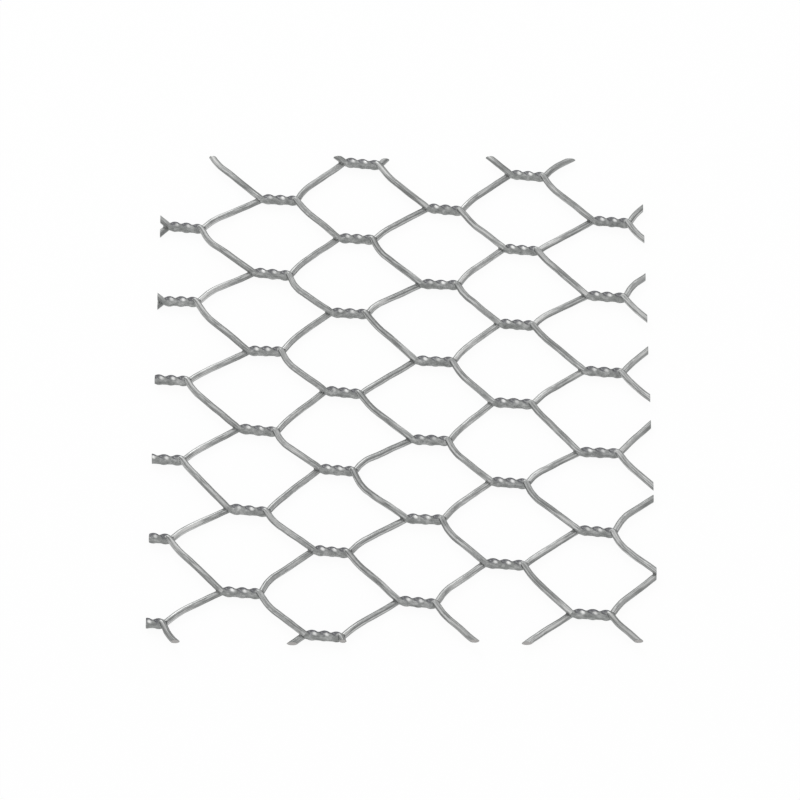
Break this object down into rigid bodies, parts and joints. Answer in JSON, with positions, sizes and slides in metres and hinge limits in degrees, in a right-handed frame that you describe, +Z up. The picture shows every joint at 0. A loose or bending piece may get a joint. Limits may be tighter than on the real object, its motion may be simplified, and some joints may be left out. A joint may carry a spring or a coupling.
{
  "type": "hexagonal wire netting panel",
  "caption": "Flat trimmed piece of galvanised hexagonal wire netting, also called chicken wire, woven from twisted pairs of wires around open six-sided cells.",
  "frame": {"origin": "middle of the trimmed piece, on the level plane that its lowest wires rest on", "axes": "+Z up out of the netting, +Y along the longer trimmed edge, +X along the shorter one; the twists run along +X, turned 4.5 degrees clockwise"},
  "size_m": [0.0688, 0.0806, 0.0017],
  "materials": {
    "galvanised_wire": "hot-dip galvanised after weaving, dull grey with thin bright streaks"
  },
  "bodies": {
    "root": {"wire_01": "galvanised_wire", "wire_02": "galvanised_wire", "wire_03": "galvanised_wire", "wire_04": "galvanised_wire", "wire_05": "galvanised_wire", "wire_06": "galvanised_wire", "wire_07": "galvanised_wire", "wire_08": "galvanised_wire", "wire_09": "galvanised_wire", "wire_10": "galvanised_wire", "wire_11": "galvanised_wire", "wire_12": "galvanised_wire", "wire_13": "galvanised_wire", "wire_14": "galvanised_wire"}
  },
  "joints": []
}
